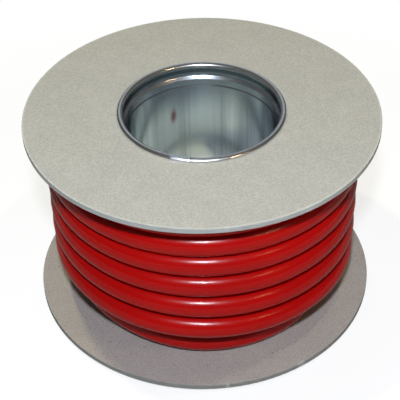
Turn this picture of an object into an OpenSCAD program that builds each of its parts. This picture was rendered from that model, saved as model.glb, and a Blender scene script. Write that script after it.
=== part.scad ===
// Drum of heavy single-core cable: two board flanges clamped on a tinplate hub whose ends are
// rolled over them, and thick red cable wound between the flanges in three layers.
// Millimetres, +Z along the hub. The origin is under the middle of the lower rolled rim.

/* [Flanges] */
// Diameter of both board flanges
flange_d = 200; // [190:1:260]
// Thickness of the flange board
board_t = 3.2; // [2:0.05:4]
// Rounding of the cut edges of the board
board_edge_r = 0.3; // [0.1:0.05:0.5]
// Clearance between a flange's hole and the collar in it
flange_clear = 0.3; // [0.1:0.05:0.6]

/* [Hub] */
// Distance between the outer faces of the two flanges
reel_w = 118.8; // [100:0.1:180]
// Bore of the hub, for a spindle
bore_d = 86; // [76:1:96]
// Thickness of the tinplate
sheet_t = 0.4; // [0.3:0.05:0.6]
// Height of a rolled rim above its flange
rim_h = 2.2; // [2.2:0.1:4]
// Outer radius of the curl of the rolled rim
curl_r = 2.05; // [1.4:0.05:2.1]
// How far the crest of the curl is pressed flat
crest_flat = 0.05; // [0.03:0.01:0.15]
// Step outward from the bore to the neck under each clamping rib
neck_step = 0.4; // [0.2:0.05:0.8]
// Step outward from the bore to the inner face of the collar in the flange's hole
collar_step = 0.85; // [0.6:0.05:1.2]
// Radius of the clamping rib that is swaged out under each flange
rib_r = 2.1; // [1.8:0.1:3]
// Clearance in height between the clamping rib and the flange's inner face
rib_clear = 0.05; // [0.02:0.01:0.2]
// Length of the neck, from the rib to the bore
neck_l = 3.2; // [2:0.1:8]
// Length of the slope from the neck to the bore
neck_slope = 1; // [0.5:0.1:2]

/* [Lap seam and hole] */
// Width of the lapped seam of the hub
seam_w = 8; // [4:0.5:14]
// Direction of the seam, anticlockwise from the front
seam_a = -17; // [-60:1:60]
// Width of the nick where the sheet's two corners meet at the crest
nick_w = 0.9; // [0.5:0.1:1.5]
// Diameter of the hole in the hub's wall
wall_hole_d = 10; // [6:0.5:14]
// Direction of the hole, anticlockwise from the front
wall_hole_a = 66; // [40:1:120]
// Height of the hole's middle above the lower flange's outer face
wall_hole_h = 30; // [22:0.5:60]

/* [Cable] */
// Outer diameter of the cable
cable_d = 14; // [13:0.1:15]
// Diameter of the copper conductor in the cable
copper_d = 10.4; // [7:0.1:10.8]
// Length of copper modelled behind the cut end
copper_l = 12; // [6:0.5:14]
// Clearance between the copper and its sheath
copper_clear = 0.1; // [0.05:0.01:0.2]
// Clearance between the wound cable and what it lies on
wind_clear = 0.3; // [0.2:0.05:0.6]

/* [Winding] */
// Number of layers of cable under the outer one
inner_layers = 2; // [1:1:2]
// Distance from one layer to the next, between middles
layer_step = 15.95; // [15.3:0.05:17]
// Air between two neighbouring turns of the outer layer, on average
turn_air = 0.84; // [0.1:0.02:1.2]
// Extra looseness of the middle turns of the outer layer
turn_slack = 2.1; // [0:0.1:2.4]
// How far the last turn is tilted, up on the right and down on the left
tilt_h = 3; // [0:0.1:3]
// Height that the cable climbs from the lower flange in its first turn
climb_h = 22.7; // [20:0.1:30]
// Height at which the lower turn comes out of the layers under it, above its seat on the flange
start_h = 5; // [2:0.5:8]
// How far the lower turn lies outside the layer that it comes from
foot_step = 4.4; // [0:0.05:6]
// Turn at which the lower turn has come down onto the flange, counted from the front
settle_at = -0.1; // [-0.2:0.01:-0.05]
// Turn at which the cable starts to move outward
shift_from = 0.08; // [-0.05:0.01:0.12]
// Turn at which the cable has reached the outer layer
shift_to = 0.45; // [0.35:0.01:0.5]

/* [End tape] */
// Width of the tape that holds the cut end down
tape_w = 19; // [12:1:25]
// Thickness of the tape
tape_t = 0.4; // [0.2:0.05:0.6]
// Number of turns that the tape crosses
tape_turns = 3; // [2:1:4]

/* [Hidden] */
$fn = 96;
SIDES = 6;
RINGS = 24;

bore_r = bore_d / 2;
neck_r = bore_r + neck_step;
collar_r = bore_r + collar_step;
curl_x = collar_r + curl_r;
curl_y = rim_h + crest_flat - curl_r;
rim_r = curl_x + curl_r;
flange_hole_r = collar_r + sheet_t + flange_clear;
rib_depth = board_t + rib_clear + rib_r;
rib_end = rib_depth + rib_r * sqrt(2);
neck_end = rib_end + neck_l;
bore_end = neck_end + neck_slope;
seam_angle = seam_w / bore_r * 180 / PI;
nick_angle = nick_w / curl_x * 180 / PI;

base_z = rim_h;
top_z = rim_h + reel_w;

// How far a cut runs past the face that it opens
cut_past = 0.1;

cable_r = cable_d / 2;
hub_outer_r = bore_r + sheet_t;
inner_r = hub_outer_r + sheet_t + wind_clear;
lower_r = hub_outer_r + cable_r + layer_step * (inner_layers - 1);
foot_r = lower_r + foot_step;
outer_r = hub_outer_r + cable_r + layer_step * inner_layers;

// Radius of what lies under a turn whose middle runs at r: between its rings the turn cuts inward
function under_r(r) = (r - cable_r) * cos(180 / RINGS) - wind_clear;
core_r = under_r(outer_r);
step_r = under_r(lower_r);

// Heights of the cable's middle: on the lower flange, where the outer layer starts, and the highest
seat_z = base_z + board_t + cable_r;
first_z = seat_z + climb_h;
last_z = top_z - board_t - cable_r;
pitch = cable_d + turn_air;
full_turns = floor((last_z - first_z) / pitch);

function smooth(u) = let (v = min(1, max(0, u))) v * v * (3 - 2 * v);

// The cable is wound clockwise, seen from above: t counts turns from the front of the lower turn,
// which starts high between the layers, settles on the flange, then climbs and moves outward
start_t = -7 / RINGS;
function azimuth(t) = -360 * t;
function settled(t) = smooth((t - start_t) / (settle_at - start_t));
function route_r(t) = lower_r + foot_step * settled(t)
    + (outer_r - foot_r) * smooth((t - shift_from) / (shift_to - shift_from));
function layer_share(t) = max(0, t - 1) / full_turns;
function climb_z(t) = seat_z + (climb_h - pitch) * sin(90 * t) + pitch * t;
function layer_z(t) = first_z + pitch * (t - 1)
    + turn_slack * sin(180 * min(1, layer_share(t)))
    + tilt_h * layer_share(t) * sin(azimuth(t));
function route_z(t) = t < 0 ? seat_z + start_h * (1 - settled(t)) : min(last_z, t < 1 ? climb_z(t) : layer_z(t));
function route(t) = [route_r(t) * sin(azimuth(t)), -route_r(t) * cos(azimuth(t)), route_z(t)];

// The outer layer stops where the next turn would meet the upper flange
free_end = [for (e = [0 : 1 / RINGS : 1]) if (layer_z(full_turns + 1 + e) > last_z) e];
end_t = full_turns + 1 + min(concat([1], free_end)) - 1 / RINGS;
ring_count = round((end_t - start_t) * RINGS);
start_dir = [-cos(azimuth(start_t)), -sin(azimuth(start_t)), 0];
end_dir = [-cos(azimuth(end_t)), -sin(azimuth(end_t)), 0];
path = concat(
    [route(start_t) - start_dir * cable_d],
    [for (k = [0 : ring_count]) route(start_t + k / RINGS)],
    [route(end_t) + end_dir * cable_d]);
path_n = len(path);
end_point = path[path_n - 1];

function unit(v) = v / norm(v);
function along(p, k) = unit(p[min(k + 1, len(p) - 1)] - p[max(k - 1, 0)]);

// One ring of the swept tube: SIDES points about c, square to d, with flats above and below
function ring(c, d, r) = let (side = unit([-d[1], d[0], 0]), up = cross(side, d))
    [for (i = [0 : SIDES - 1]) c + r * (side * cos(360 * i / SIDES) + up * sin(360 * i / SIDES))];
function tube_faces(n) = concat(
    [for (k = [0 : n - 2], i = [0 : SIDES - 1])
        [k * SIDES + i, (k + 1) * SIDES + i, (k + 1) * SIDES + (i + 1) % SIDES]],
    [for (k = [0 : n - 2], i = [0 : SIDES - 1])
        [k * SIDES + i, (k + 1) * SIDES + (i + 1) % SIDES, k * SIDES + (i + 1) % SIDES]],
    [for (i = [1 : SIDES - 2]) [0, i, i + 1]],
    [for (i = [1 : SIDES - 2]) [(n - 1) * SIDES, (n - 1) * SIDES + i + 1, (n - 1) * SIDES + i]]);

// The sheath's bore at the cut end is a ring inside the last one and the same ring further back
sheath_bore_r = (copper_d / 2 + copper_clear) / cos(180 / SIDES);
sheath_rings = concat(
    [for (k = [0 : path_n - 1]) ring(path[k], k == 0 ? start_dir : k > path_n - 3 ? end_dir : along(path, k), cable_r)],
    [ring(end_point, end_dir, sheath_bore_r)],
    [ring(end_point - end_dir * copper_l, end_dir, sheath_bore_r)]);

// Least gap of the tube to itself, between each ring's corners and the sides of the ring one turn on
function to_side(p, a, b) = let (u = min(1, max(0, (p - a) * (b - a) / ((b - a) * (b - a))))) norm(p - a - (b - a) * u);
self_gap = min([for (k = [0 : ring_count - RINGS], i = [0 : SIDES - 1], j = [0 : SIDES - 1])
    let (here = sheath_rings[k + 1], next = sheath_rings[k + 1 + RINGS])
    min(to_side(here[i], next[j], next[(j + 1) % SIDES]), to_side(next[i], here[j], here[(j + 1) % SIDES]))]);
echo(least_gap_between_turns = self_gap);

function run_length(p, k) = k == 0 ? 0 : run_length(p, k - 1) + norm(p[k] - p[k - 1]);
inner_turns = (last_z - seat_z) / pitch;
inner_length = inner_layers * inner_turns * PI * (hub_outer_r + cable_r + lower_r);
echo(outer_layer_length = run_length(path, path_n - 1), whole_cable_length = run_length(path, path_n - 1) + inner_length);

// One end of the hub's section, with the flange's outer face at y = 0 and the middle of the reel below.
// inner and outer are how far the drawn skin lies outside the sheet's middle, on either side.
module curl_section(inner, outer) {
    middle_r = curl_r - sheet_t / 2;
    intersection() {
        difference() {
            translate([curl_x, curl_y]) circle(r = middle_r + outer);
            translate([curl_x, curl_y]) circle(r = middle_r - inner);
        }
        translate([bore_r, curl_y]) square([4 * curl_r, rim_h - curl_y]);
    }
    // The free edge of the curl comes down onto the flange
    translate([curl_x + middle_r - inner, 0]) square([inner + outer, curl_y]);
}
module collar_section(inner, outer, depth) {
    translate([collar_r + sheet_t / 2 - outer, -depth]) square([inner + outer, depth + curl_y]);
}
// The rib is round where it carries the flange, and slopes back to the neck at 45 degrees
module rib_outline(r) {
    translate([neck_r, -rib_depth]) {
        circle(r = r);
        rotate(-90) polygon([[0, 0], [r / sqrt(2), r / sqrt(2)], [r * sqrt(2), 0]]);
    }
}
module rib_section() {
    intersection() {
        difference() {
            rib_outline(rib_r);
            rib_outline(rib_r - sheet_t);
        }
        union() {
            translate([neck_r, -rib_end]) square([rib_r, rib_end - rib_depth]);
            translate([collar_r, -rib_end]) square([rib_r, rib_end - rib_depth + rib_r]);
        }
    }
}
module wall_section(inner, outer, depth) {
    middle = sheet_t / 2;
    polygon([
        [neck_r + middle - inner, -depth],
        [neck_r + middle - inner, -neck_end],
        [bore_r + middle - inner, -bore_end],
        [bore_r + middle - inner, -reel_w / 2],
        [bore_r + middle + outer, -reel_w / 2],
        [bore_r + middle + outer, -bore_end],
        [neck_r + middle + outer, -neck_end],
        [neck_r + middle + outer, -depth],
    ]);
}
module sheet_section() {
    half = sheet_t / 2;
    curl_section(half, half);
    collar_section(half, half, board_t + rib_r / 5);
    rib_section();
    wall_section(half, half, rib_end - half);
}

// The second skin of the lapped seam stands proud on the rims and, between the ribs, outside the wall
module lap_section() {
    curl_section(0, sheet_t * 1.1);
    collar_section(0, sheet_t * 1.1, board_t * 0.8);
    wall_section(0, sheet_t * 1.5, rib_end + sheet_t);
}
module both_ends() {
    translate([0, top_z]) children();
    translate([0, base_z]) mirror([0, 1]) children();
}

module core_tube() {
    color([0.60, 0.62, 0.63]) difference() {
        union() {
            rotate_extrude() both_ends() sheet_section();
            rotate([0, 0, -90 + seam_a - seam_angle / 2]) rotate_extrude(angle = seam_angle) both_ends() lap_section();
        }
        translate([0, 0, base_z + wall_hole_h]) rotate([0, 0, -90 + wall_hole_a]) rotate([0, 90, 0])
            cylinder(h = bore_r + 4 * sheet_t, d = wall_hole_d);
        // Nicks at the crests, where the corners of the sheet were cut away
        for (z = [-cut_past, top_z + curl_y]) rotate([0, 0, -90 + seam_a + nick_angle / 2]) translate([0, 0, z])
            rotate_extrude(angle = nick_angle) translate([collar_r - sheet_t, 0]) square([curl_r, curl_r]);
    }
}

// One flange, lying on z = 0
module flange() {
    r = flange_d / 2;
    rotate_extrude() {
        translate([flange_hole_r, 0]) square([r - board_edge_r - flange_hole_r, board_t]);
        translate([flange_hole_r, board_edge_r]) square([r - flange_hole_r, board_t - 2 * board_edge_r]);
        for (y = [board_edge_r, board_t - board_edge_r]) translate([r - board_edge_r, y]) circle(r = board_edge_r, $fn = 32);
    }
}
module top_flange() {
    color([0.72, 0.71, 0.67]) translate([0, 0, top_z - board_t]) flange();
}
module bottom_flange() {
    color([0.66, 0.64, 0.62]) translate([0, 0, base_z]) flange();
}

// Where the lower turn runs, the core is cut back by one layer, up to the highest place that the
// cable reaches while it still lies inside the core's outline
function height_in_core(t) = let (out = max(0, route_r(t) - core_r))
    route_z(t) + (out < cable_r ? sqrt(cable_r * cable_r - out * out) : 0);
notch_t = [for (k = [0 : floor((shift_to - start_t) * RINGS)]) start_t + k / RINGS];
notch_z = max([for (t = notch_t) if (route_r(t) - cable_r < core_r) height_in_core(t)]) + wind_clear;
notch_from = azimuth(shift_to);
notch_to = azimuth(start_t);
pocket_z = route_z(start_t) + cable_r + wind_clear;
module lower_turn_notch() {
    rotate([0, 0, -90 + notch_from]) rotate_extrude(angle = notch_to - notch_from)
        translate([step_r, base_z]) square([core_r, notch_z - base_z]);
    // Past the notch a straight pocket takes the straight start of the tube
    rotate([0, 0, -90 + notch_to]) translate([step_r, -cut_past, base_z])
        cube([core_r, cable_d + wind_clear + cut_past, pocket_z - base_z]);
}
module cable_inner_layers() {
    rib_out = neck_r + rib_r + wind_clear;
    rib_low = rib_end + wind_clear;
    low = base_z + board_t + wind_clear;
    high = top_z - board_t - wind_clear;
    color([0.55, 0.05, 0.04]) difference() {
        rotate_extrude() polygon([
            [rib_out, low],
            [core_r, low],
            [core_r, high],
            [rib_out, high],
            [rib_out, top_z - rib_low],
            [inner_r, top_z - bore_end],
            [inner_r, base_z + bore_end],
            [rib_out, base_z + rib_low],
        ]);
        lower_turn_notch();
    }
}

module cable_outer_layer() {
    color([0.72, 0.05, 0.04])
        polyhedron([for (r = sheath_rings) each r], tube_faces(len(sheath_rings)), convexity = 10);
}

// Seven bunches of fine wire, cut off flush with the sheath
module conductor_end() {
    bunch_r = copper_d / 6;
    color([0.78, 0.45, 0.28]) translate(end_point) rotate([0, 0, azimuth(end_t)]) rotate([0, 90, 0])
        linear_extrude(height = copper_l - wind_clear) {
            circle(r = bunch_r * 1.05);
            for (i = [0 : 5]) rotate([0, 0, 60 * i]) translate([2 * bunch_r, 0]) circle(r = bunch_r, $fn = 48);
            circle(r = 2 * bunch_r);
        }
}

// Tape laid down the back over the last turns, next to the cut end
module end_tape() {
    r = outer_r + cable_r + wind_clear;
    a = tape_w / r * 180 / PI;
    high = last_z + cable_r / 2;
    color([0.08, 0.08, 0.09]) rotate([0, 0, -90 + azimuth(end_t) + 2]) rotate_extrude(angle = a)
        translate([r, high - pitch * (tape_turns - 0.5)]) square([tape_t, pitch * (tape_turns - 0.5)]);
}

core_tube();
top_flange();
bottom_flange();
cable_inner_layers();
cable_outer_layer();
conductor_end();
end_tape();
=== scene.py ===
"""Looks of a cable drum: two board flanges on a rolled tinplate hub, wound with thick red cable."""

import logging
import math
import random
from dataclasses import dataclass, field, replace
from enum import Enum
from typing import Any

import bpy
import numpy as np
from mathutils import Matrix, Vector


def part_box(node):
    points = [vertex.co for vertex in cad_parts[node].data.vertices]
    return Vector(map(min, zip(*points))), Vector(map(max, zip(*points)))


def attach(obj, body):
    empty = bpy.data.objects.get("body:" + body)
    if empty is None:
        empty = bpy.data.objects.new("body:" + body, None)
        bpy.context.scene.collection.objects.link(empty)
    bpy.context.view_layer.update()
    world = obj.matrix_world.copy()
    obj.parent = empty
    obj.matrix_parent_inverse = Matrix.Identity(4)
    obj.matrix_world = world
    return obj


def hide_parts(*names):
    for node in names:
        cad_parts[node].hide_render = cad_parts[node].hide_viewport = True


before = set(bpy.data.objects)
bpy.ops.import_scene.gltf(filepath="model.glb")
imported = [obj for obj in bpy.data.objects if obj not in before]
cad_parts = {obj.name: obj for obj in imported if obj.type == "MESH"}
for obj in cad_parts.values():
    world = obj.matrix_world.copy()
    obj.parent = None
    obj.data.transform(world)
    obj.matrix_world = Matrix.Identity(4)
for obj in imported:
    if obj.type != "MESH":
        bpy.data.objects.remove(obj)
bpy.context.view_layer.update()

MM = 0.001
IMAGE_SIZE = 400
BODY = "root"
TURN = 2 * math.pi

log = logging.getLogger("cable_drum")

Colour = tuple[float, float, float]
Face = tuple[int, ...]
Step = tuple[float, float]
Value = Any

WHITE: Colour = (1.0, 1.0, 1.0)


# ---------------------------------------------------------------- shader maths


class Sock:
    """An output socket that takes part in plain arithmetic; each operator adds a Math node."""

    def __init__(self, nodes: "Nodes", socket: bpy.types.NodeSocket) -> None:
        """Wraps a socket.

        Args:
            nodes: the node tree that the socket belongs to.
            socket: the output socket.
        """
        self.nodes = nodes
        self.socket = socket

    def _math(self, operation: str, *values: Value) -> "Sock":
        """One Math node of the given operation on the given values."""
        inputs = dict(enumerate(values))
        return self.nodes.node("ShaderNodeMath", {"operation": operation}, inputs)

    def __add__(self, other: Value) -> "Sock":
        """self + other."""
        return self._math("ADD", self, other)

    def __radd__(self, other: Value) -> "Sock":
        """other + self."""
        return self._math("ADD", other, self)

    def __sub__(self, other: Value) -> "Sock":
        """self - other."""
        return self._math("SUBTRACT", self, other)

    def __rsub__(self, other: Value) -> "Sock":
        """other - self."""
        return self._math("SUBTRACT", other, self)

    def __mul__(self, other: Value) -> "Sock":
        """self * other."""
        return self._math("MULTIPLY", self, other)

    def __rmul__(self, other: Value) -> "Sock":
        """other * self."""
        return self._math("MULTIPLY", other, self)

    def __pow__(self, other: Value) -> "Sock":
        """self to the power of other."""
        return self._math("POWER", self, other)

    def __abs__(self) -> "Sock":
        """The value without its sign."""
        return self._math("ABSOLUTE", self)

    def sin(self) -> "Sock":
        """The sine of the value, in radians."""
        return self._math("SINE", self)

    def least(self, other: Value) -> "Sock":
        """The smaller of the value and another one."""
        return self._math("MINIMUM", self, other)

    def over(self, limit: float, width: float) -> "Sock":
        """A soft step from 0 to 1.

        Args:
            limit: the value at which the step is half done.
            width: the width of the step.

        Returns:
            The step as a value.
        """
        half = width / 2
        return self.nodes.node(
            "ShaderNodeMapRange",
            {"interpolation_type": "SMOOTHSTEP"},
            {"Value": self, "From Min": limit - half, "From Max": limit + half},
        )


class Nodes:
    """A node tree whose nodes are made by plain calls."""

    MIX_LOW, MIX_HIGH, MIX_RESULT = 6, 7, 2

    def __init__(self, tree: bpy.types.NodeTree, output_kind: str) -> None:
        """Empties a node tree down to its output.

        Args:
            tree: the node tree.
            output_kind: the type of its output node.
        """
        self.tree = tree
        self.tree.nodes.clear()
        self.output = self.tree.nodes.new(output_kind)

    def show(self, shader: Sock) -> None:
        """Links a shader to the tree's output."""
        self.tree.links.new(shader.socket, self.output.inputs["Surface"])

    def _feed(self, socket: bpy.types.NodeSocket, value: Value) -> None:
        """Links a Sock to a node's input, or sets a plain value on it.

        Args:
            socket: the input.
            value: the Sock, colour or number.
        """
        if isinstance(value, Sock):
            self.tree.links.new(value.socket, socket)
        elif isinstance(value, tuple) and len(value) == 3 and socket.type == "RGBA":
            socket.default_value = (*value, 1.0)
        else:
            socket.default_value = value

    def node(
        self, kind: str, settings: dict[str, Value] | None = None,
        inputs: dict[str | int, Value] | None = None, output: str | int = 0,
    ) -> Sock:
        """Adds a node.

        Args:
            kind: the node's type.
            settings: its settings, which are set first.
            inputs: the value or link of each named or numbered input.
            output: the output that is wanted.

        Returns:
            That output.
        """
        made = self.tree.nodes.new(kind)
        for key, value in (settings or {}).items():
            setattr(made, key, value)
        for key, value in (inputs or {}).items():
            self._feed(made.inputs[key], value)
        return Sock(self, made.outputs[output])

    def others(self, sock: Sock, *outputs: str | int) -> tuple[Sock, ...]:
        """Other outputs of the node that a Sock comes from."""
        return tuple(Sock(self, sock.socket.node.outputs[output]) for output in outputs)

    def place(self) -> Sock:
        """The place on the object, in metres in the drum's own frame."""
        return self.node("ShaderNodeTexCoord", output="Object")

    def rays(self) -> tuple[Sock, Sock]:
        """Tells the camera's rays from those that a mirror or glass sends on.

        Returns:
            A value that is 1 for the camera's own rays, and one that is 1 for the rays sent on.
        """
        camera = self.node("ShaderNodeLightPath", output="Is Camera Ray")
        glossy, through = self.others(camera, "Is Glossy Ray", "Is Transmission Ray")
        return camera, (glossy + through).least(1 - camera)

    def split(self, vector: Sock) -> tuple[Sock, ...]:
        """The three components of a vector."""
        return self.others(self.node("ShaderNodeSeparateXYZ", inputs={0: vector}), 0, 1, 2)

    def join(self, x: Value, y: Value, z: Value) -> Sock:
        """A vector of three values."""
        return self.node("ShaderNodeCombineXYZ", inputs={0: x, 1: y, 2: z})

    def radius(self, x: Sock, y: Sock) -> Sock:
        """Distance from the drum's axis."""
        return (x * x + y * y) ** 0.5

    def angle(self, x: Sock, y: Sock) -> Sock:
        """Direction about the drum's axis, in radians."""
        return self.node("ShaderNodeMath", {"operation": "ARCTAN2"}, {0: y, 1: x})

    def noise(
        self, vector: Sock, size: float, detail: float = 2.0, roughness: float = 0.5
    ) -> Sock:
        """Noise from 0 to 1.

        Args:
            vector: where it is read, in metres.
            size: the size of its features, in metres.
            detail: how many finer layers it has.
            roughness: how strong the finer layers are.

        Returns:
            The noise as a value.
        """
        return self.node(
            "ShaderNodeTexNoise", None,
            {"Vector": vector, "Scale": 1 / size, "Detail": detail, "Roughness": roughness},
        )

    def mix(self, low: Value, high: Value, factor: Value) -> Sock:
        """Mixes two colours.

        Args:
            low: the colour where the factor is 0.
            high: the colour where the factor is 1.
            factor: the factor.

        Returns:
            The mixed colour.
        """
        return self.node(
            "ShaderNodeMix", {"data_type": "RGBA"},
            {0: factor, self.MIX_LOW: low, self.MIX_HIGH: high}, self.MIX_RESULT,
        )

    def blend(self, low: Sock, high: Sock, factor: Sock) -> Sock:
        """Mixes two shaders, low where the factor is 0 and high where it is 1."""
        return self.node("ShaderNodeMixShader", None, {0: factor, 1: low, 2: high})

    def bump(self, height: Sock, strength: float, distance: float) -> Sock:
        """A bumped normal.

        Args:
            height: the height, from 0 to 1.
            strength: how much of it counts.
            distance: the height of 1, in metres.

        Returns:
            The normal.
        """
        return self.node(
            "ShaderNodeBump", None, {"Strength": strength, "Distance": distance, "Height": height}
        )


class Shader(Nodes):
    """A material with a Principled shader."""

    def __init__(self, name: str) -> None:
        """Makes the material.

        Args:
            name: the material's name.
        """
        self.material = bpy.data.materials.new(name)
        self.material.use_nodes = True
        super().__init__(self.material.node_tree, "ShaderNodeOutputMaterial")
        self.surface = self.node("ShaderNodeBsdfPrincipled")
        self.show(self.surface)

    def set(self, **values: Value) -> None:
        """Sets inputs of the Principled shader; an underscore in a name stands for a space.

        Args:
            **values: the value or link of each input.
        """
        inputs = self.surface.socket.node.inputs
        for key, value in values.items():
            self._feed(inputs[key.replace("_", " ")], value)


# ---------------------------------------------------------------- finishes


@dataclass(frozen=True)
class Greyboard:
    """Thick grey board, pressed from waste paper: speckled faces and a cool, fibrous cut edge.

    Sizes are in metres, and a depth is measured inwards from the cut edge. A step is the value at
    which a soft step is half done, and its width. A seed picks one slice of a noise.
    """

    rim_radius: float
    face: Colour = (0.392, 0.39, 0.384)
    face_dark: Colour = (0.29, 0.288, 0.283)
    speckle_size: float = 0.00075
    speckle_share: float = 0.86
    mottle_size: float = 0.014
    tone_step: Step = (0.5, 0.3)
    fleck: Colour = (0.3, 0.27, 0.22)
    fleck_share: float = 0.25
    fleck_size: float = 0.0021
    fleck_step: Step = (0.715, 0.05)
    edge: Colour = (0.42, 0.44, 0.43)
    edge_dark: Colour = (0.32, 0.34, 0.335)
    edge_depth: float = 0.25 * MM
    edge_fade: float = 0.2 * MM
    layer_size: float = 0.0004
    layer_stretch: float = 0.06
    layer_step: Step = (0.5, 0.4)
    # Painted highlight: a pale band along the rim of each face, where the bevel catches the light;
    # the burrs below are pale too.
    rim_highlight_and_burrs: Colour = (0.44, 0.455, 0.46)
    rim_highlight_share: float = 0.6
    arris_depth: float = 0.9 * MM
    arris_fade: float = 0.5 * MM
    arris_step: Step = (0.5, 1.0)
    burr_share: float = 0.65
    burr_size: float = 0.012
    burr_seed: float = 7.7
    burr_step: Step = (0.63, 0.06)
    roughness: float = 0.88
    speckle_roughness: float = 0.1
    relief: float = 0.12 * MM
    relief_share: float = 0.45

    def material(self, name: str) -> bpy.types.Material:
        """Makes the finish.

        Args:
            name: the material's name.

        Returns:
            The material.
        """
        s = Shader(name)
        place = s.place()
        x, y, z = s.split(place)
        radius = s.radius(x, y)
        speckle = s.noise(place, self.speckle_size, detail=3.0, roughness=0.7)
        mottle = s.noise(place, self.mottle_size, detail=4.0, roughness=0.6)
        flecks = s.noise(place, self.fleck_size, detail=1.0).over(*self.fleck_step)
        tone = speckle * self.speckle_share + mottle * (1 - self.speckle_share)
        face = s.mix(self.face_dark, self.face, tone.over(*self.tone_step))
        face = s.mix(face, self.fleck, flecks * self.fleck_share)
        around = s.angle(x, y) * self.rim_radius
        layers = s.noise(s.join(around * self.layer_stretch, z, 0.0), self.layer_size)
        edge = s.mix(self.edge_dark, self.edge, layers.over(*self.layer_step))
        on_edge = radius.over(self.rim_radius - self.edge_depth, self.edge_fade)
        burr = s.noise(s.join(around, 0.0, self.burr_seed), self.burr_size).over(*self.burr_step)
        # Painted highlight along the rim of the face, together with pale burrs on the rim and the
        # cut edge.
        worn = self.rim_highlight_share * (1 - on_edge) + self.burr_share * burr
        rim_highlight_and_burrs = radius.over(self.rim_radius - self.arris_depth, self.arris_fade)
        rim_highlight_and_burrs = rim_highlight_and_burrs * worn.over(*self.arris_step)
        s.set(
            Base_Color=s.mix(s.mix(face, edge, on_edge), self.rim_highlight_and_burrs, rim_highlight_and_burrs),
            Roughness=self.roughness + self.speckle_roughness * speckle,
            Specular_IOR_Level=0.28,
            Normal=s.bump(speckle + layers * on_edge, self.relief_share, self.relief),
        )
        return s.material


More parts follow.
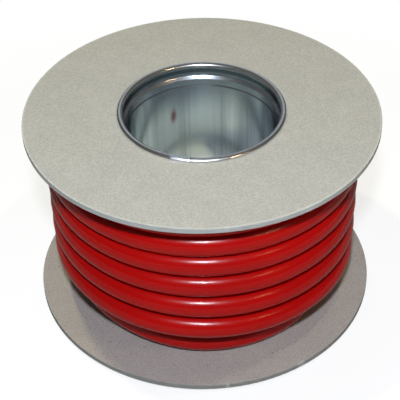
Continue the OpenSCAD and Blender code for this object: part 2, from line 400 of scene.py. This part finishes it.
@dataclass(frozen=True)
class Tinplate:
    """Bright rolled tinplate: bands from the rolling mill, painted shade on one side and on the far
    wall, and a painted dark reflection on the collars.

    Heights are in metres above and below the middle of the hub, which is the same at both ends.
    Angles are in radians about the hub. A drift is how much faster a pattern changes along a
    metre of the hub than along a radian round it. Steps and seeds are as in the board's finish.
    """

    middle: float
    worked_from: float
    formed_from: float
    crest_from: float
    far_shade_from: float
    colour: Colour = (0.87, 0.93, 0.99)
    band: Colour = (0.57, 0.63, 0.7)
    band_angle: float = 0.22
    band_drift: float = 0.6
    band_seed: float = 4.1
    band_share: float = 0.7
    streak_angle: float = 0.05
    streak_drift: float = 0.25
    streak_seed: float = 0.3
    # Painted shade: the wall is lighter on one side and darker on the other.
    shade_side_angle: float = 0.45
    shade_side_share: float = 0.16
    dull_step: Step = (0.462, 0.22)
    # Painted shade on the far wall near its ends, and on its right side.
    far_shade_step: Step = (0.78, 0.4)
    far_shade_fade: float = 0.02
    far_shade_share: float = 0.85
    right_shade_lead: float = 1.3
    patch_step: Step = (0.91, 0.12)
    right_shade_share: float = 0.75
    # Painted dark reflection on the collars, weaker at the lower end.
    painted_collar_shade: Colour = (0.2, 0.26, 0.29)
    collar_shade_edge_fade: float = 0.8 * MM
    collar_shade_at_lower_end: float = 0.35
    collar_shade_end_fade: float = 0.04
    crest: Colour = (0.8, 0.82, 0.81)
    bend_fade: float = 0.6 * MM
    # Painted highlight on the lapped seam of the curl: a brighter colour there.
    lap_and_highlight: Colour = (0.9, 0.95, 1.0)
    lap_angle: float = -math.radians(105)
    lap_half_width: float = 0.105
    lap_fade: float = 0.04
    crease_size: float = 0.0013
    crease_height: float = 7.0
    smear_size: float = 0.02
    roughness: float = 0.1
    dull_roughness: float = 0.05
    smear_roughness: float = 0.04
    worked_roughness: float = 0.07
    lap_roughness: float = 0.12
    relief: float = 0.4 * MM
    relief_share: float = 0.1

    def material(self, name: str) -> bpy.types.Material:
        """Makes the finish.

        Args:
            name: the material's name.

        Returns:
            The material.
        """
        s = Shader(name)
        place = s.place()
        x, y, z = s.split(place)
        angle = s.angle(x, y)
        off_middle = abs(z - self.middle)
        # Mill bands, with painted shade on one side, on the right and on the far wall near its
        # ends.
        dullness_and_shade = self._dullness_and_shade(s, angle, z, off_middle)
        wall = s.mix(self.colour, self.band, dullness_and_shade)
        # Painted dark reflection on the collars, weaker at the lower end.
        collar_shade_mask = self.collar_shade_at_lower_end + (1 - self.collar_shade_at_lower_end) * z.over(self.middle, self.collar_shade_end_fade)
        collar_shade_mask = off_middle.over(self.formed_from, self.collar_shade_edge_fade) * collar_shade_mask
        worked = off_middle.over(self.worked_from, self.bend_fade)
        curled = off_middle.over(self.crest_from, self.bend_fade)
        # The lapped seam on the curl, with a painted highlight in its brighter colour.
        from_lap = abs(angle - self.lap_angle)
        lap_and_highlight = curled * (1 - from_lap.over(self.lap_half_width, self.lap_fade))
        creases = s.noise(place, self.crease_size) * lap_and_highlight
        smears = s.noise(place, self.smear_size)
        rolled = self.roughness + self.dull_roughness * dullness_and_shade + self.smear_roughness * smears
        colour = s.mix(s.mix(wall, self.painted_collar_shade, collar_shade_mask), self.crest, curled)
        s.set(
            Base_Color=s.mix(colour, self.lap_and_highlight, lap_and_highlight),
            Metallic=1.0,
            Roughness=rolled + self.worked_roughness * worked + self.lap_roughness * lap_and_highlight,
            Normal=s.bump(smears + creases * self.crease_height, self.relief_share, self.relief),
        )
        return s.material

    def _dullness_and_shade(self, s: Shader, angle: Sock, z: Sock, off_middle: Sock) -> Sock:
        """Where the hub's wall is dull: bands from the mill, and painted shade on one side, on the
        right and on the far wall near its ends.

        Args:
            s: the shader.
            angle: direction about the hub.
            z: height.
            off_middle: distance from the middle of the hub, along it.

        Returns:
            The dullness, from 0 to 1.
        """
        at_band = s.join(angle, z * self.band_drift, self.band_seed)
        at_streak = s.join(angle, z * self.streak_drift, self.streak_seed)
        bands = s.noise(at_band, self.band_angle, detail=1.0)
        streaks = s.noise(at_streak, self.streak_angle, roughness=0.6)
        # Painted shade: lighter on one side of the hub, darker on the other.
        side = (angle - self.shade_side_angle).sin()
        dullness_and_shade = bands * self.band_share + streaks * (1 - self.band_share)
        dullness_and_shade = (dullness_and_shade - side * self.shade_side_share).over(*self.dull_step)
        # Painted shade on the far wall near its ends, and on the right.
        painted_shade = off_middle.over(self.far_shade_from, self.far_shade_fade) * angle.sin().over(*self.far_shade_step)
        right_shade = (angle + self.right_shade_lead).sin().over(*self.patch_step)
        painted_shade = painted_shade * self.far_shade_share + right_shade * self.right_shade_share
        return dullness_and_shade + painted_shade * (1 - dullness_and_shade)


@dataclass(frozen=True)
class RedSheath:
    """Smooth glossy red PVC, a little uneven from being extruded and then bent."""

    colour: Colour = (0.38, 0.002, 0.0017)
    deep: Colour = (0.346, 0.0015, 0.0015)
    cloud_size: float = 0.048
    cloud_step: Step = (0.5, 0.4)
    wave_size: float = 0.03
    wave_share: float = 0.85
    scuff_size: float = 0.004
    scuff_share: float = 0.12
    grain_size: float = 0.0009
    grain_share: float = 0.03
    roughness: float = 0.19
    scuff_roughness: float = 0.08
    relief: float = 0.9 * MM
    relief_share: float = 0.35

    def material(self, name: str) -> bpy.types.Material:
        """Makes the finish.

        Args:
            name: the material's name.

        Returns:
            The material.
        """
        s = Shader(name)
        place = s.place()
        waves = s.noise(place, self.wave_size, detail=1.0) * self.wave_share
        cloud = s.noise(place, self.cloud_size)
        scuffs = s.noise(place, self.scuff_size, detail=4.0, roughness=0.7)
        grain = s.noise(place, self.grain_size) * self.grain_share
        height = waves + grain + scuffs * self.scuff_share
        s.set(
            Base_Color=s.mix(self.colour, self.deep, cloud.over(*self.cloud_step)),
            Roughness=self.roughness + self.scuff_roughness * scuffs,
            Specular_IOR_Level=0.26,
            Normal=s.bump(height, self.relief_share, self.relief),
        )
        return s.material


@dataclass(frozen=True)
class Copper:
    """Freshly cut copper wire, slightly tarnished in places."""

    colour: Colour = (0.83, 0.42, 0.24)
    tarnish: Colour = (0.45, 0.19, 0.1)
    patch_size: float = 0.0015
    patch_step: Step = (0.56, 0.3)
    scratch_size: float = 0.0002
    roughness: float = 0.22
    scratch_roughness: float = 0.25
    relief: float = 0.02 * MM
    relief_share: float = 0.3

    def material(self, name: str) -> bpy.types.Material:
        """Makes the finish.

        Args:
            name: the material's name.

        Returns:
            The material.
        """
        s = Shader(name)
        place = s.place()
        patches = s.noise(place, self.patch_size, detail=3.0, roughness=0.7)
        scratches = s.noise(place, self.scratch_size)
        s.set(
            Base_Color=s.mix(self.colour, self.tarnish, patches.over(*self.patch_step)),
            Metallic=1.0,
            Roughness=self.roughness + self.scratch_roughness * scratches,
            Normal=s.bump(scratches, self.relief_share, self.relief),
        )
        return s.material


@dataclass(frozen=True)
class BlackTape:
    """Semi-gloss black PVC tape with its fine crinkle."""

    colour: Colour = (0.018, 0.018, 0.02)
    worn: Colour = (0.045, 0.045, 0.048)
    patch_size: float = 0.008
    patch_step: Step = (0.55, 0.4)
    crinkle_size: float = 0.0012
    roughness: float = 0.34
    crinkle_roughness: float = 0.18
    relief: float = 0.1 * MM
    relief_share: float = 0.4

    def material(self, name: str) -> bpy.types.Material:
        """Makes the finish.

        Args:
            name: the material's name.

        Returns:
            The material.
        """
        s = Shader(name)
        place = s.place()
        crinkle = s.noise(place, self.crinkle_size, detail=3.0, roughness=0.6)
        patches = s.noise(place, self.patch_size, detail=3.0)
        s.set(
            Base_Color=s.mix(self.colour, self.worn, patches.over(*self.patch_step)),
            Roughness=self.roughness + self.crinkle_roughness * crinkle,
            Normal=s.bump(crinkle, self.relief_share, self.relief),
        )
        return s.material


@dataclass(frozen=True)
class PaperFloor:
    """White paper that stays white far from the drum and carries its shadow close to it.

    It is paper to the camera, and dimmer in what it sends on to the drum, except that a mirror
    sees it as paper under the open hub, and white far off. Lengths are in metres.
    """

    colour: Colour = (0.9, 0.93, 0.98)
    fibre: Colour = (0.885, 0.915, 0.965)
    fibre_size: float = 0.002
    bounce: Colour = (0.45, 0.42, 0.4)
    mirrored: Colour = (0.27, 0.27, 0.27)
    under_bore: float = 0.045
    bore_fade: float = 0.01
    near: float = 0.75
    shadow_reach: float = 0.26
    mirrored_reach: float = 1.3
    fade: float = 0.2

    def material(self, name: str) -> bpy.types.Material:
        """Makes the finish.

        Args:
            name: the material's name.

        Returns:
            The material.
        """
        s = Shader(name)
        place = s.place()
        x, y, _ = s.split(place)
        radius = s.radius(x, y)
        camera, mirror = s.rays()
        paper = s.mix(self.colour, self.fibre, s.noise(place, self.fibre_size, detail=3.0))
        unseen = s.mix(self.bounce, self.mirrored, mirror)
        in_bore = 1 - radius.over(self.under_bore, self.bore_fade)
        s.set(
            Base_Color=s.mix(unseen, paper, camera + mirror * in_bore),
            Roughness=0.95,
            Specular_IOR_Level=0.1,
        )
        far = radius.over(self.shadow_reach, self.fade)
        shown = (far + (1 - far) * self.near) * camera
        mirrored_far = radius.over(self.mirrored_reach, self.fade) * mirror
        white = s.node("ShaderNodeEmission", None, {"Color": WHITE, "Strength": 1.0})
        s.show(s.blend(s.surface, white, shown + mirrored_far))
        return s.material


# ---------------------------------------------------------------- meshes


def unit(v: np.ndarray) -> np.ndarray:
    """A vector, or rows of vectors, scaled to length 1."""
    return v / np.linalg.norm(v, axis=-1, keepdims=True)


def smooth(u: float) -> float:
    """A smooth step from 0 to 1 as u goes from 0 to 1."""
    v = min(1.0, max(0.0, u))
    return v * v * (3 - 2 * v)


def new_piece(
    name: str, points: np.ndarray, faces: list[Face], material: bpy.types.Material
) -> bpy.types.Object:
    """Makes a smooth-shaded piece that rides on the drum.

    Args:
        name: the piece's name.
        points: its vertices, in metres.
        faces: its faces.
        material: its finish.

    Returns:
        The piece.
    """
    mesh = bpy.data.meshes.new(name)
    mesh.from_pydata([tuple(p) for p in points], [], faces)
    mesh.validate()
    mesh.shade_smooth()
    mesh.materials.append(material)
    piece = bpy.data.objects.new(name, mesh)
    bpy.context.scene.collection.objects.link(piece)
    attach(piece, BODY)
    return piece


def grid_faces(rings: int, sides: int, start: int = 0) -> list[Face]:
    """The quads between rings of points that follow one another.

    Args:
        rings: how many rings there are.
        sides: how many points each ring has.
        start: the number of the first ring's first point.

    Returns:
        The quads.
    """
    quads = []
    for k in range(rings - 1):
        low = start + k * sides
        for i in range(sides):
            j = (i + 1) % sides
            quads.append((low + i, low + j, low + sides + j, low + sides + i))
    return quads


# ---------------------------------------------------------------- sub-assemblies


@dataclass
class WoundCable:
    """The whole length of cable: two hidden layers, the lower turn and the outer layer.

    Sizes are in millimetres. Heights are above the lower flange's outer face, t counts turns from
    the front of the lower turn, and the cable runs clockwise, seen from above, as t grows. The
    first layer rides on the hub's ribs, so it stays clear of each flange by the rib lift. It
    crosses into the second layer at the top, which comes down to the lower flange in the descent,
    moves out to the lower turn at the foot, and out and up into the outer layer in the shift and
    the climb. That layer rises by the pitch in each turn, with some slack half way up and a tilt
    that grows. Rings are counted for each turn, and the straight ones at the cut end in all.
    """

    flange_under: float
    board: float
    reel_width: float
    diameter: float = 14.0
    layer_radii: tuple[float, float, float] = (50.9, 66.35, 82.3)
    foot_radius: float = 70.75
    rib_lift: float = 0.6
    pitch: float = 14.84
    slack: float = 2.1
    tilt: float = 3.0
    climb: float = 22.7
    descent_height: float = 28.0
    descent_from: float = -0.62
    descent_to: float = -0.12
    foot_from: float = -0.29
    foot_to: float = -0.09
    shift_from: float = 0.08
    shift_to: float = 0.45
    crossing: float = 0.25
    crossing_lead: float = 0.45
    end_turn: float = 6 + 7 / 24
    chamfer: float = 0.25
    copper_bore: float = 10.6
    bore_depth: float = 8.0
    sides: int = 32
    rings_shown: int = 72
    rings_hidden: int = 24
    rings_straight: int = 4
    path: np.ndarray = field(init=False)

    @classmethod
    def between_flanges(cls) -> "WoundCable":
        """The cable on this drum, with the flanges' sizes from the frame.

        Returns:
            The cable.
        """
        under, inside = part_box("bottom_flange")
        _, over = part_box("top_flange")
        sizes = (under.z, inside.z - under.z, over.z - under.z)
        return cls(*(round(size / MM, 2) for size in sizes))

    @property
    def seat(self) -> float:
        """Height of the cable's middle where it lies on the lower flange."""
        return self.board + self.diameter / 2

    @property
    def ceiling(self) -> float:
        """Height of the cable's middle where it lies under the upper flange."""
        return self.reel_width - self.board - self.diameter / 2

    @property
    def second_layer_top(self) -> float:
        """The turn at which the second layer starts down from the upper flange."""
        return self.descent_from - (self.ceiling - self.rib_lift - self.descent_height) / self.pitch

    @property
    def first_layer_top(self) -> float:
        """The turn at which the first layer reaches the upper flange."""
        return self.second_layer_top - self.crossing_lead

    @property
    def inner_end(self) -> float:
        """The turn at which the cable starts, on the lower flange."""
        return self.first_layer_top - (self.ceiling - self.seat - 2 * self.rib_lift) / self.pitch

    def radius(self, t: float) -> float:
        """Radius of the cable's middle, which grows by a layer at each of three places.

        Args:
            t: the turn.

        Returns:
            The radius, in millimetres.
        """
        first, second, outer = self.layer_radii
        across = smooth((t - self.first_layer_top) / self.crossing)
        foot = smooth((t - self.foot_from) / (self.foot_to - self.foot_from))
        shift = smooth((t - self.shift_from) / (self.shift_to - self.shift_from))
        return (
            first + (second - first) * across + (self.foot_radius - second) * foot
            + (outer - self.foot_radius) * shift
        )

    def outer_height(self, t: float) -> float:
        """Height of the cable's middle from the lower turn up.

        Args:
            t: the turn, from 0 up.

        Returns:
            The height, in millimetres.
        """
        if t < 1:
            return self.seat + (self.climb - self.pitch) * math.sin(TURN / 4 * t) + self.pitch * t
        full_turns = math.floor((self.ceiling - self.seat - self.climb) / self.pitch)
        share = (t - 1) / full_turns
        height = self.seat + self.climb + self.pitch * (t - 1)
        height += self.slack * math.sin(math.pi * min(1.0, share))
        height -= self.tilt * share * math.sin(TURN * t)
        return min(self.ceiling, height)

    def height(self, t: float) -> float:
        """Height of the cable's middle, in every layer.

        Args:
            t: the turn.

        Returns:
            The height, in millimetres.
        """
        if t >= 0:
            return self.outer_height(t)
        if t >= self.descent_from:
            down = smooth((t - self.descent_from) / (self.descent_to - self.descent_from))
            return self.descent_height + (self.seat - self.descent_height) * down
        if t >= self.second_layer_top:
            return self.descent_height + self.pitch * (self.descent_from - t)
        rise = self.seat + self.rib_lift + self.pitch * (t - self.inner_end)
        return min(self.ceiling - self.rib_lift, rise)

    def point(self, t: float) -> tuple[float, float, float]:
        """The cable's middle.

        Args:
            t: the turn.

        Returns:
            The point, in metres in the drum's own frame.
        """
        r = self.radius(t) * MM
        height = (self.height(t) + self.flange_under) * MM
        return (-r * math.sin(TURN * t), -r * math.cos(TURN * t), height)

    def end_direction(self) -> np.ndarray:
        """The level direction in which the outer cut end points."""
        angle = TURN * self.end_turn
        return np.array([-math.cos(angle), math.sin(angle), 0.0])

    def route(self) -> np.ndarray:
        """The cable's middle line from its inner end to its outer cut end, which is straight.

        Returns:
            The line's points, in metres.
        """
        hidden = int((-1.0 - self.inner_end) * self.rings_hidden)
        shown = int(round((self.end_turn + 1.0) * self.rings_shown))
        turns = list(np.linspace(self.inner_end, -1.0, hidden, endpoint=False))
        turns += list(np.linspace(-1.0, self.end_turn, shown + 1))
        line = [self.point(t) for t in turns]
        last = np.array(line[-1])
        for ring in range(1, self.rings_straight + 1):
            share = ring / self.rings_straight
            line.append(tuple(last + self.end_direction() * self.diameter * MM * share))
        return np.array(line)

    def length(self) -> float:
        """Length of the cable, in metres."""
        return float(np.linalg.norm(np.diff(self.path, axis=0), axis=1).sum())

    def ring(self, centre: np.ndarray, along: np.ndarray, radius: float) -> np.ndarray:
        """One ring of points round the cable's middle line.

        Args:
            centre: the ring's middle.
            along: the line's direction there.
            radius: the ring's radius.

        Returns:
            The ring's points.
        """
        side = unit(np.array([-along[1], along[0], 0.0]))
        up = np.cross(side, along)
        angles = np.arange(self.sides) * TURN / self.sides
        return centre + radius * (np.outer(np.cos(angles), side) + np.outer(np.sin(angles), up))

    def build(self, finish: RedSheath) -> bpy.types.Object:
        """Sweeps the sheath along the whole route.

        Args:
            finish: the sheath's finish.

        Returns:
            The cable.
        """
        self.path = self.route()
        along = unit(np.gradient(self.path, axis=0))
        along[-self.rings_straight:] = self.end_direction()
        outer = self.diameter / 2 * MM
        bore = self.copper_bore / 2 * MM
        chamfer = self.chamfer * MM
        rings = [self.ring(p, d, outer) for p, d in zip(self.path, along)]
        rings[0] = self.ring(self.path[0], along[0], outer - chamfer)
        end, out = self.path[-1], along[-1]
        rings[-1] = self.ring(end - out * chamfer, out, outer)
        rings.append(self.ring(end, out, outer - chamfer))
        rings.append(self.ring(end, out, bore))
        rings.append(self.ring(end - out * self.bore_depth * MM, out, bore))
        points = np.concatenate(rings)
        faces = grid_faces(len(rings), self.sides)
        faces.append(tuple(reversed(range(self.sides))))
        faces.append(tuple(len(points) - self.sides + i for i in range(self.sides)))
        cable = new_piece("cable", points, faces, finish.material("red_sheath"))
        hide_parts("cable_inner_layers", "cable_outer_layer")
        return cable

    def declare(self, cable: bpy.types.Object, copper: bpy.types.Object) -> None:
        """Args:
            cable: the cable; it is not used.
            copper: the conductor at its cut end; it is not used.
        """


@dataclass
class CutEnd:
    """The copper in the cable's cut end: bunches of fine wire, one in the middle of the others.

    A bunch is one wire with shells of six, twelve and so on round it. Sizes are in millimetres.
    """

    wire: float = 0.69
    outer_bunches: int = 6
    shells: int = 2
    depth: float = 6.0
    unevenness: float = 0.25
    tip: float = 0.1
    tip_share: float = 0.8
    wire_sides: int = 8
    seed: int = 4

    @staticmethod
    def circle(radius: float, count: int) -> list[tuple[float, float]]:
        """Places spread evenly round a circle.

        Args:
            radius: the circle's radius.
            count: how many places there are.

        Returns:
            The places.
        """
        angles = [TURN * k / count for k in range(count)]
        return [(radius * math.cos(angle), radius * math.sin(angle)) for angle in angles]

    def bunch_centres(self) -> list[tuple[float, float]]:
        """The middles of the bunches."""
        bunch_width = (1 + 2 * self.shells) * self.wire
        return [(0.0, 0.0), *self.circle(bunch_width, self.outer_bunches)]

    def wire_places(self) -> list[tuple[float, float]]:
        """The places of the wires in one bunch."""
        shells = [self.circle(k * self.wire, 6 * k) for k in range(1, self.shells + 1)]
        return [(0.0, 0.0), *(place for shell in shells for place in shell)]

    def build(self, end: np.ndarray, out: np.ndarray, finish: Copper) -> bpy.types.Object:
        """Builds the wires in the cut end.

        Args:
            end: the middle of the cut face, in metres.
            out: the direction in which the end points.
            finish: the copper's finish.

        Returns:
            The conductor.
        """
        draw = random.Random(self.seed)
        side = unit(np.array([-out[1], out[0], 0.0]))
        up = np.cross(side, out)
        angles = np.arange(self.wire_sides) * TURN / self.wire_sides
        circle = np.outer(np.cos(angles), side) + np.outer(np.sin(angles), up)
        r = self.wire / 2 * MM
        rings, faces, n = [], [], self.wire_sides
        for bx, by in self.bunch_centres():
            for wx, wy in self.wire_places():
                middle = end + (side * (bx + wx) + up * (by + wy)) * MM
                reach = draw.uniform(-self.unevenness, self.unevenness) * MM
                start = len(rings) * n
                rings.append(middle - out * self.depth * MM + circle * r)
                rings.append(middle + out * (reach - self.tip * MM) + circle * r)
                rings.append(middle + out * reach + circle * r * self.tip_share)
                faces += grid_faces(3, n, start)
                faces.append(tuple(reversed(range(start, start + n))))
                faces.append(tuple(range(start + 2 * n, start + 3 * n)))
        points, material = np.concatenate(rings), finish.material("cut_copper")
        copper = new_piece("copper_strands", points, faces, material)
        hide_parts("conductor_end")
        return copper


@dataclass
class EndTape:
    """The tape down the back that holds the cut end: it bridges the turns and sags between them.

    Sizes are in millimetres and angles in radians. The lift is its clearance from the crests, the
    width holds at a small height over them, and the cling is how long it follows a crest before
    it sags.
    """

    width: float = 19.0
    thickness: float = 0.4
    lift: float = 0.05
    sag: float = 1.1
    cling: int = 3
    wrapped_at: float = 0.3
    angle_offset: float = math.radians(2)
    columns: int = 14
    rows: int = 60

    def build(self, cable: WoundCable, finish: BlackTape) -> bpy.types.Object:
        """Lays the tape over the last turns.

        Args:
            cable: the cable that it holds.
            finish: the tape's finish.

        Returns:
            The tape.
        """
        low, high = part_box("end_tape")
        outer = cable.layer_radii[2] + cable.diameter / 2
        start = -TURN / 4 - TURN * (cable.end_turn % 1) + self.angle_offset
        span = self.width / (outer + self.wrapped_at)
        inner_face, outer_face = [], []
        sides = ((inner_face, self.lift), (outer_face, self.lift + self.thickness))
        for row in range(self.rows + 1):
            z = low.z + (high.z - low.z) * row / self.rows
            for column in range(self.columns + 1):
                angle = start + span * column / self.columns
                turn = (-angle - TURN / 4) / TURN % 1
                below = self._depth(cable, turn, z / MM - cable.flange_under)
                for side, rise in sides:
                    r = (outer + rise - below) * MM
                    side.append((r * math.cos(angle), r * math.sin(angle), z))
        points = np.array(inner_face + outer_face)
        material = finish.material("black_tape")
        tape = new_piece("cut_end_tape", points, self._faces(), material)
        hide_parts("end_tape")
        return tape

    def _depth(self, cable: WoundCable, turn: float, height: float) -> float:
        """How far the tape lies below the turns' crests.

        Args:
            cable: the cable under it.
            turn: the direction about the drum, as a part of a turn.
            height: the height above the lower flange's outer face.

        Returns:
            The depth.
        """
        turns = range(1, math.ceil(cable.end_turn))
        nearest = min(abs(cable.outer_height(k + turn) - height) for k in turns)
        share = min(1.0, nearest / (cable.pitch / 2))
        return self.sag * share ** self.cling

    def _faces(self) -> list[Face]:
        """The faces of both sides of the tape and of its four edges.

        Returns:
            The faces, on the points of the inner side and then those of the outer one.
        """
        across = self.columns + 1
        other = across * (self.rows + 1)
        faces = []
        for row in range(self.rows):
            for column in range(self.columns):
                a = row * across + column
                b, c, d = a + 1, a + across + 1, a + across
                faces.append((a, d, c, b))
                faces.append((other + a, other + b, other + c, other + d))
        for row in range(self.rows):
            a, d = row * across, (row + 1) * across
            b, c = a + self.columns, d + self.columns
            faces.append((a, other + a, other + d, d))
            faces.append((b, c, other + c, other + b))
        top = self.rows * across
        for a in range(self.columns):
            b, c, d = a + 1, top + a + 1, top + a
            faces.append((a, b, other + b, other + a))
            faces.append((d, other + d, other + c, c))
        return faces


@dataclass
class Drum:
    """The rigid drum: the hub and its two flanges keep their solids and get their finishes.

    Sizes are in metres: how far the hub's crest starts under the upper flange's outer face, and
    its other marks under the inner face. The hub's lower end is the same.
    """

    worked_below_flange: float = 9.5 * MM
    crest_under_rim: float = 0.5 * MM
    # Where the painted shade on the far wall starts, below the upper flange's inner face.
    far_shade_below_flange: float = 18 * MM

    def dress(self) -> None:
        """Gives the hub and the flanges their finishes."""
        hub_low, hub_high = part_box("core_tube")
        flange_low, flange_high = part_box("top_flange")
        middle = (hub_low.z + hub_high.z) / 2
        tinplate = Tinplate(
            middle=middle,
            worked_from=flange_low.z - middle - self.worked_below_flange,
            formed_from=flange_low.z - middle,
            crest_from=flange_high.z - middle - self.crest_under_rim,
            far_shade_from=flange_low.z - middle - self.far_shade_below_flange,
        )
        board = Greyboard(rim_radius=flange_high.x)
        # Painted shade: the lower flange gets a darker, browner copy of the board, for the shade it
        # lies in under the upper flange.
        shaded_board_copy = replace(
            board, face=(0.372, 0.343, 0.32), face_dark=(0.266, 0.246, 0.23),
            fleck=(0.17, 0.14, 0.12), fleck_share=0.45,
            edge=(0.265, 0.28, 0.265), edge_dark=(0.2, 0.212, 0.2),
            rim_highlight_and_burrs=(0.4, 0.415, 0.4), rim_highlight_share=0.15,
        )
        for node, material in (
            ("core_tube", tinplate.material("tinplate")),
            ("top_flange", board.material("greyboard_top")),
            ("bottom_flange", shaded_board_copy.material("greyboard_bottom_painted_shade")),
        ):
            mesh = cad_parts[node].data
            mesh.materials.clear()
            mesh.materials.append(material)
            log.info("%s keeps its solid and has the finish %s", node, material.name)


# ---------------------------------------------------------------- studio


@dataclass
class Viewpoint:
    """Where the camera stands, on an arc about a point on the drum's axis, and where it looks.

    Lengths are in metres, the sensor's in millimetres, and angles in radians.
    """

    distance: float = 0.68534
    elevation: float = 0.6893
    aimed_height: float = 0.0616
    pitch: float = 0.6957
    yaw: float = -0.0034
    roll: float = -0.0229
    focal_pixels: float = 1160.4
    sensor: float = 36.0
    nearest: float = 0.01

    def place(self) -> None:
        """Makes the camera and makes it the scene's own."""
        half_pixel = 0.5 / self.focal_pixels
        pitch, yaw = self.pitch - half_pixel, self.yaw - half_pixel
        forward = Vector((
            math.sin(yaw) * math.cos(pitch), math.cos(yaw) * math.cos(pitch), -math.sin(pitch)
        ))
        right = Vector((math.cos(yaw), -math.sin(yaw), 0.0))
        up = right.cross(forward)
        x_axis = math.cos(self.roll) * right + math.sin(self.roll) * up
        y_axis = math.cos(self.roll) * up - math.sin(self.roll) * right
        data = bpy.data.cameras.new("camera")
        data.sensor_width = self.sensor
        data.lens = self.focal_pixels / IMAGE_SIZE * self.sensor
        data.clip_start = self.nearest
        camera = bpy.data.objects.new("camera", data)
        bpy.context.scene.collection.objects.link(camera)
        turned = Matrix((x_axis, y_axis, -forward)).transposed()
        where = Vector((
            0.0, -math.cos(self.elevation) * self.distance,
            math.sin(self.elevation) * self.distance + self.aimed_height,
        ))
        camera.matrix_world = Matrix.Translation(where) @ turned.to_4x4()
        bpy.context.scene.camera = camera


class LampKind(Enum):
    """What each lamp of the studio is for."""

    KEY = "key"
    SIDE = "side"
    CEILING_LEFT = "ceiling_left"
    BACK = "back"
    FILL = "fill"
    CEILING_RIGHT = "ceiling_right"


@dataclass(frozen=True)
class Lamp:
    """One soft round lamp, aimed at the drum, which a mirror shows or not.

    Lengths are in metres and the power in watts.
    """

    kind: LampKind
    place: tuple[float, float, float]
    width: float
    power: float
    colour: Colour = WHITE
    mirrored: bool = True
    aimed_height: float = 0.06

    def hang(self) -> None:
        """Makes the lamp."""
        data = bpy.data.lights.new(self.kind.value, "AREA")
        data.shape = "DISK"
        data.size = self.width
        data.energy = self.power
        data.color = self.colour
        lamp = bpy.data.objects.new(self.kind.value, data)
        lamp.visible_glossy = self.mirrored
        bpy.context.scene.collection.objects.link(lamp)
        where = Vector(self.place)
        aim = Vector((0.0, 0.0, self.aimed_height)) - where
        turned = aim.to_track_quat("-Z", "Y").to_matrix()
        lamp.matrix_world = Matrix.Translation(where) @ turned.to_4x4()


@dataclass
class Studio:
    """A plain white floor, six soft lamps and a dim, even surround.

    The horizon step is the height of a ray's direction at which its white fades out to a mirror.
    """

    lamps: tuple[Lamp, ...] = (
        Lamp(LampKind.KEY, (-0.01, -0.54, 0.68), 0.05, 6.4, (0.86, 0.9, 1.0)),
        Lamp(LampKind.SIDE, (0.55, -0.5, 0.75), 0.09, 0.8, (1.0, 0.66, 0.36)),
        Lamp(LampKind.CEILING_LEFT, (-0.31, 0.13, 1.2), 0.06, 5.1, (1.0, 0.95, 0.54), False),
        Lamp(LampKind.BACK, (-0.03, 0.95, 0.8), 0.8, 0.56, (0.74, 0.84, 1.0)),
        Lamp(LampKind.FILL, (0.0, 0.85, 0.11), 0.22, 3.2, (1.0, 0.98, 0.95), False),
        Lamp(LampKind.CEILING_RIGHT, (0.29, -0.08, 1.2), 0.06, 2.1, (1.0, 0.95, 0.58), False),
    )
    surround: Colour = (1.0, 0.97, 0.88)
    surround_strength: float = 0.09
    horizon_step: Step = (0.035, 0.03)
    floor_size: float = 6.0

    def build(self) -> None:
        """Makes the floor, the lamps and the surround."""
        for lamp in self.lamps:
            lamp.hang()
        half = self.floor_size / 2
        mesh = bpy.data.meshes.new("floor")
        square = [(-half, -half, 0.0), (half, -half, 0.0), (half, half, 0.0), (-half, half, 0.0)]
        mesh.from_pydata(square, [], [(0, 1, 2, 3)])
        mesh.materials.append(PaperFloor().material("floor_paper"))
        floor = bpy.data.objects.new("floor", mesh)
        bpy.context.scene.collection.objects.link(floor)
        self._surround()

    def _surround(self) -> None:
        """Lights the scene dimly from all round.

        The camera sees it white, and so does a mirror that looks towards the horizon.
        """
        world = bpy.data.worlds.new("surround")
        world.use_nodes = True
        s = Nodes(world.node_tree, "ShaderNodeOutputWorld")
        camera, mirror = s.rays()
        _, _, rise = s.split(s.node("ShaderNodeTexCoord", output="Generated"))
        horizon = 1 - rise.over(*self.horizon_step)
        dim, white = (
            s.node("ShaderNodeBackground", None, {"Color": colour, "Strength": strength})
            for colour, strength in ((self.surround, self.surround_strength), (WHITE, 1.0))
        )
        s.show(s.blend(dim, white, camera + mirror * horizon))
        bpy.context.scene.world = world


def main() -> None:
    """Builds the drum in order and reports each piece."""
    logging.basicConfig(level=logging.INFO, format="%(name)s: %(message)s")
    bpy.context.scene.view_settings.view_transform = "Standard"
    Viewpoint().place()
    winding = WoundCable.between_flanges()
    cable = winding.build(RedSheath())
    log.info("cable: %.2f m from its inner end to its cut end", winding.length())
    cut_end = CutEnd()
    copper = cut_end.build(winding.path[-1], winding.end_direction(), Copper())
    winding.declare(cable, copper)
    log.info(
        "copper_strands: %d bunches of %d wires in the cut end",
        len(cut_end.bunch_centres()), len(cut_end.wire_places()),
    )
    EndTape().build(winding, BlackTape())
    log.info("cut_end_tape: holds the cut end down")
    Drum().dress()
    studio = Studio()
    studio.build()
    log.info("floor, with %d lamps over it", len(studio.lamps))


if __name__ == "__main__":
    main()
